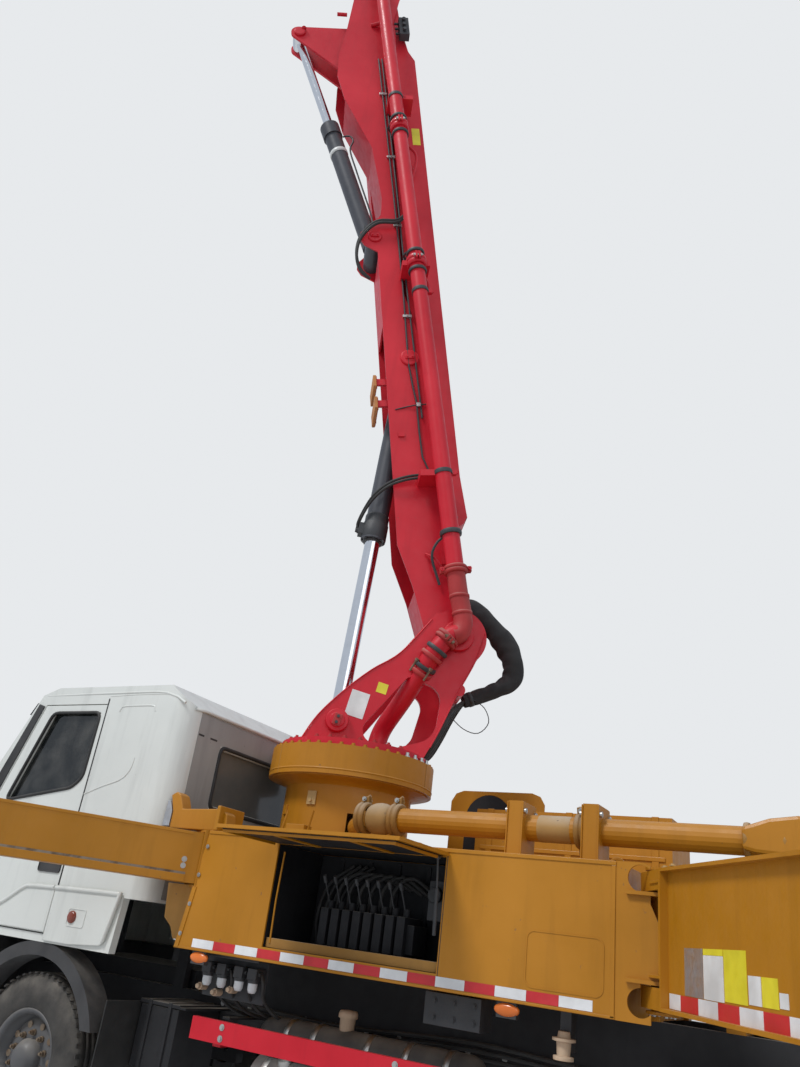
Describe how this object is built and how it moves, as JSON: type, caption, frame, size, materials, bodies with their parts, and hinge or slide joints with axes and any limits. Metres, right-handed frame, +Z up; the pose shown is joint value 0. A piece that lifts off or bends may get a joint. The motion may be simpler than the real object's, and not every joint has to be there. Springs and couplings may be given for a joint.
{
  "type": "concrete pump truck",
  "caption": "Concrete pump truck with its folding placing boom raised, outriggers spread and jacks down, side compartment open",
  "frame": {"origin": "centre of the bounding box on the ground, in the middle of the truck", "axes": "+X runs to the rear, +Y to the passenger side, +Z up"},
  "size_m": [11.7, 7.511, 12.5039],
  "materials": {
    "yellow_paint": "glossy golden-orange paint, dusty on flat tops",
    "red_paint": "glossy crimson paint",
    "cab_paint": "glossy off-white paint",
    "dark_steel": "matt dark chassis paint with dust",
    "black_plastic": "grained matt plastic",
    "dark_glass": "clear dark tinted glass",
    "lamp_lens": "clear orange lens plastic",
    "tyre_rubber": "worn black rubber, dusty",
    "chrome_rod": "polished hard chrome",
    "cylinder_paint": "satin dark grey paint",
    "hose_rubber": "matt black woven hose sleeve"
  },
  "bodies": {
    "chassis": {"frame": "dark_steel", "engine": "dark_steel", "axles": "dark_steel", "mudguards": "black_plastic", "deck_body": "yellow_paint", "deck_gear": "yellow_paint", "pedestal": "yellow_paint", "deck_pipe": "yellow_paint", "far_tank": "yellow_paint", "side_guards": "red_paint", "tanks": "dark_steel", "pump_cylinders": "yellow_paint", "hopper": "yellow_paint", "lamps": "lamp_lens", "cab_shell": "cab_paint", "cab_glass": "dark_glass", "cab_interior": "black_plastic", "cab_front": "black_plastic"},
    "door_l": {"door_l": "cab_paint", "door_glass_l": "dark_glass"},
    "door_r": {"door_r": "cab_paint", "door_glass_r": "dark_glass"},
    "turret": {"turret": "red_paint", "hose_sleeve": "hose_rubber"},
    "arm_1": {"arm_1": "red_paint", "pipe_1": "red_paint"},
    "side_lid": {"side_lid": "yellow_paint"},
    "hopper_grate": {"hopper_grate": "dark_steel"},
    "knuckle_l": {"knuckle_l": "dark_steel"},
    "knuckle_r": {"knuckle_r": "dark_steel"},
    "wheel_fl": {"wheel_fl": "tyre_rubber"},
    "wheel_fr": {"wheel_fr": "tyre_rubber"},
    "wheel_ml": {"wheel_ml": "tyre_rubber"},
    "wheel_mr": {"wheel_mr": "tyre_rubber"},
    "wheel_rl": {"wheel_rl": "tyre_rubber"},
    "wheel_rr": {"wheel_rr": "tyre_rubber"},
    "front_beam_l": {"front_beam_l": "yellow_paint"},
    "front_beam_r": {"front_beam_r": "yellow_paint"},
    "front_jack_l": {"front_jack_l": "chrome_rod"},
    "front_jack_r": {"front_jack_r": "chrome_rod"},
    "rear_leg_l": {"rear_leg_l": "yellow_paint"},
    "rear_leg_r": {"rear_leg_r": "yellow_paint"},
    "rear_jack_l": {"rear_jack_l": "chrome_rod"},
    "rear_jack_r": {"rear_jack_r": "chrome_rod"},
    "arm_2": {"arm_2": "red_paint"},
    "arm_3": {"arm_3": "red_paint"},
    "arm_4": {"arm_4": "red_paint"},
    "cyl_1_barrel": {"cyl_1_barrel": "cylinder_paint"},
    "cyl_1_rod": {"cyl_1_rod": "chrome_rod"},
    "cyl_2_barrel": {"cyl_2_barrel": "cylinder_paint"},
    "cyl_2_rod": {"cyl_2_rod": "chrome_rod"},
    "lever_2": {"lever_2": "red_paint"},
    "cyl_3_barrel": {"cyl_3_barrel": "cylinder_paint"},
    "cyl_3_rod": {"cyl_3_rod": "chrome_rod"},
    "lever_3": {"lever_3": "red_paint"},
    "cyl_4_barrel": {"cyl_4_barrel": "cylinder_paint"},
    "cyl_4_rod": {"cyl_4_rod": "chrome_rod"},
    "lever_4": {"lever_4": "red_paint"}
  },
  "joints": [
    {"name": "slew", "type": "hinge", "parent": "chassis", "child": "turret", "pos_m": [-2.87, 0, 2.835], "axis": [0, 0, 1], "range_deg": [-215, 145]},
    {"name": "luff", "type": "hinge", "parent": "turret", "child": "arm_1", "pos_m": [-2.29659, 0.4015, 3.9], "axis": [-0.5736, 0.8192, 0], "range_deg": [-79.2, 10.8], "deforming": ["hose_sleeve"]},
    {"name": "unfold_2", "type": "hinge", "parent": "arm_1", "child": "arm_2", "pos_m": [-3.75454, -0.61937, 12.16285], "axis": [0.5736, -0.8192, 0], "range_deg": [0, 180]},
    {"name": "unfold_3", "type": "hinge", "parent": "arm_2", "child": "arm_3", "pos_m": [-2.77315, 0.86132, 5.09748], "axis": [-0.5736, 0.8192, 0], "range_deg": [0, 180]},
    {"name": "unfold_4", "type": "hinge", "parent": "arm_3", "child": "arm_4", "pos_m": [-4.06993, -0.0467, 12.32893], "axis": [-0.5736, 0.8192, 0], "range_deg": [0, 180]},
    {"name": "main_cylinder_swing", "type": "hinge", "parent": "arm_1", "child": "cyl_1_barrel", "pos_m": [-2.89461, -0.01723, 6.71303], "axis": [-0.5736, 0.8192, 0], "range_deg": [-0.63, 4.61]},
    {"name": "main_cylinder_stroke", "type": "slide", "parent": "cyl_1_barrel", "child": "cyl_1_rod", "axis": [-0.0358, -0.0251, -0.999], "range_m": [-1.54404, 0.21055]},
    {"name": "lever_2_turn", "type": "hinge", "parent": "arm_1", "child": "lever_2", "pos_m": [-3.84319, -0.68143, 11.02237], "axis": [-0.5736, 0.8192, 0], "range_deg": [-92, 0]},
    {"name": "cylinder_2_swing", "type": "hinge", "parent": "arm_1", "child": "cyl_2_barrel", "pos_m": [-3.34173, -0.33031, 8.18686], "axis": [-0.5736, 0.8192, 0], "range_deg": [0, 0.72898]},
    {"name": "cylinder_2_stroke", "type": "slide", "parent": "cyl_2_barrel", "child": "cyl_2_rod", "axis": [-0.323, -0.2262, 0.919], "range_m": [-1.12032, 0]},
    {"name": "lever_3_turn", "type": "hinge", "parent": "arm_2", "child": "lever_3", "pos_m": [-2.76373, 0.50168, 5.92493], "axis": [-0.5736, 0.8192, 0], "range_deg": [0, 92]},
    {"name": "cylinder_3_swing", "type": "hinge", "parent": "arm_2", "child": "cyl_3_barrel", "pos_m": [-3.15514, 0.22762, 8.42976], "axis": [-0.5736, 0.8192, 0], "range_deg": [0, 1.53]},
    {"name": "cylinder_3_stroke", "type": "slide", "parent": "cyl_3_barrel", "child": "cyl_3_rod", "axis": [0.0713, 0.0499, -0.9962], "range_m": [-0.59643, 0]},
    {"name": "lever_4_turn", "type": "hinge", "parent": "arm_3", "child": "lever_4", "pos_m": [-3.98112, 0.32679, 11.51835], "axis": [-0.5736, 0.8192, 0], "range_deg": [0, 92]},
    {"name": "cylinder_4_swing", "type": "hinge", "parent": "arm_3", "child": "cyl_4_barrel", "pos_m": [-3.58971, 0.60086, 9.01351], "axis": [-0.5736, 0.8192, 0], "range_deg": [0, 1.53]},
    {"name": "cylinder_4_stroke", "type": "slide", "parent": "cyl_4_barrel", "child": "cyl_4_rod", "axis": [-0.0713, -0.0499, 0.9962], "range_m": [-0.59643, 0]},
    {"name": "front_beam_l_slide", "type": "slide", "parent": "chassis", "child": "front_beam_l", "axis": [-0.5534, -0.8329, 0], "range_m": [-0.8, 0]},
    {"name": "front_jack_l_slide", "type": "slide", "parent": "front_beam_l", "child": "front_jack_l", "axis": [0, 0, -1], "range_m": [-0.9, 0]},
    {"name": "front_beam_r_slide", "type": "slide", "parent": "chassis", "child": "front_beam_r", "axis": [-0.5534, 0.8329, 0], "range_m": [-0.8, 0]},
    {"name": "front_jack_r_slide", "type": "slide", "parent": "front_beam_r", "child": "front_jack_r", "axis": [0, 0, -1], "range_m": [-0.9, 0]},
    {"name": "rear_leg_l_swing", "type": "hinge", "parent": "chassis", "child": "rear_leg_l", "pos_m": [-0.17, -1.07, 1.72], "axis": [0, 0, -1], "range_deg": [-59.7, 0]},
    {"name": "rear_jack_l_slide", "type": "slide", "parent": "rear_leg_l", "child": "rear_jack_l", "axis": [0, 0, -1], "range_m": [-0.9, 0]},
    {"name": "rear_leg_r_swing", "type": "hinge", "parent": "chassis", "child": "rear_leg_r", "pos_m": [-0.17, 1.07, 1.72], "axis": [0, 0, 1], "range_deg": [-59.7, 0]},
    {"name": "rear_jack_r_slide", "type": "slide", "parent": "rear_leg_r", "child": "rear_jack_r", "axis": [0, 0, -1], "range_m": [-0.9, 0]},
    {"name": "door_l_hinge", "type": "hinge", "parent": "chassis", "child": "door_l", "pos_m": [-5.474, -1.253, 2], "axis": [0, 0, -1], "range_deg": [0, 70]},
    {"name": "door_r_hinge", "type": "hinge", "parent": "chassis", "child": "door_r", "pos_m": [-5.474, 1.253, 2], "axis": [0, 0, 1], "range_deg": [0, 70]},
    {"name": "side_lid_hinge", "type": "hinge", "parent": "chassis", "child": "side_lid", "pos_m": [-1.942, -1.26, 2.04], "axis": [-1, 0, 0], "range_deg": [-90, 0]},
    {"name": "grate_hinge", "type": "hinge", "parent": "chassis", "child": "hopper_grate", "pos_m": [4.725, 0, 1.639], "axis": [0, -1, 0], "range_deg": [0, 80]},
    {"name": "steer_l", "type": "hinge", "parent": "chassis", "child": "knuckle_l", "pos_m": [-4.48, -0.82, 0.53], "axis": [0, 0, 1], "range_deg": [-35, 35]},
    {"name": "roll_fl", "type": "hinge", "parent": "knuckle_l", "child": "wheel_fl", "pos_m": [-4.48, -1.025, 0.53], "axis": [0, 1, 0], "continuous": true},
    {"name": "roll_ml", "type": "hinge", "parent": "chassis", "child": "wheel_ml", "pos_m": [0.15, -0.905, 0.53], "axis": [0, 1, 0], "continuous": true},
    {"name": "roll_rl", "type": "hinge", "parent": "chassis", "child": "wheel_rl", "pos_m": [1.46, -0.905, 0.53], "axis": [0, 1, 0], "continuous": true},
    {"name": "steer_r", "type": "hinge", "parent": "chassis", "child": "knuckle_r", "pos_m": [-4.48, 0.82, 0.53], "axis": [0, 0, 1], "range_deg": [-35, 35]},
    {"name": "roll_fr", "type": "hinge", "parent": "knuckle_r", "child": "wheel_fr", "pos_m": [-4.48, 1.025, 0.53], "axis": [0, 1, 0], "continuous": true},
    {"name": "roll_mr", "type": "hinge", "parent": "chassis", "child": "wheel_mr", "pos_m": [0.15, 0.905, 0.53], "axis": [0, 1, 0], "continuous": true},
    {"name": "roll_rr", "type": "hinge", "parent": "chassis", "child": "wheel_rr", "pos_m": [1.46, 0.905, 0.53], "axis": [0, 1, 0], "continuous": true}
  ],
  "couplings": [
    {"joint": "unfold_3", "follows": "unfold_2", "ratio": 1},
    {"joint": "unfold_4", "follows": "unfold_2", "ratio": 1},
    {"joint": "main_cylinder_swing", "follows": "luff", "ratio": -0.058246},
    {"joint": "main_cylinder_stroke", "follows": "luff", "m_per_rad": 1.117},
    {"joint": "lever_2_turn", "follows": "unfold_2", "ratio": -0.51111},
    {"joint": "cylinder_2_swing", "follows": "unfold_2", "ratio": 0.0040499},
    {"joint": "cylinder_2_stroke", "follows": "unfold_2", "m_per_rad": -0.35661},
    {"joint": "lever_3_turn", "follows": "unfold_2", "ratio": 0.51111},
    {"joint": "cylinder_3_swing", "follows": "unfold_2", "ratio": 0.0084863},
    {"joint": "cylinder_3_stroke", "follows": "unfold_2", "m_per_rad": -0.18985},
    {"joint": "lever_4_turn", "follows": "unfold_2", "ratio": 0.51111},
    {"joint": "cylinder_4_swing", "follows": "unfold_2", "ratio": 0.0084863},
    {"joint": "cylinder_4_stroke", "follows": "unfold_2", "m_per_rad": -0.18985},
    {"joint": "steer_r", "follows": "steer_l", "ratio": 1}
  ]
}
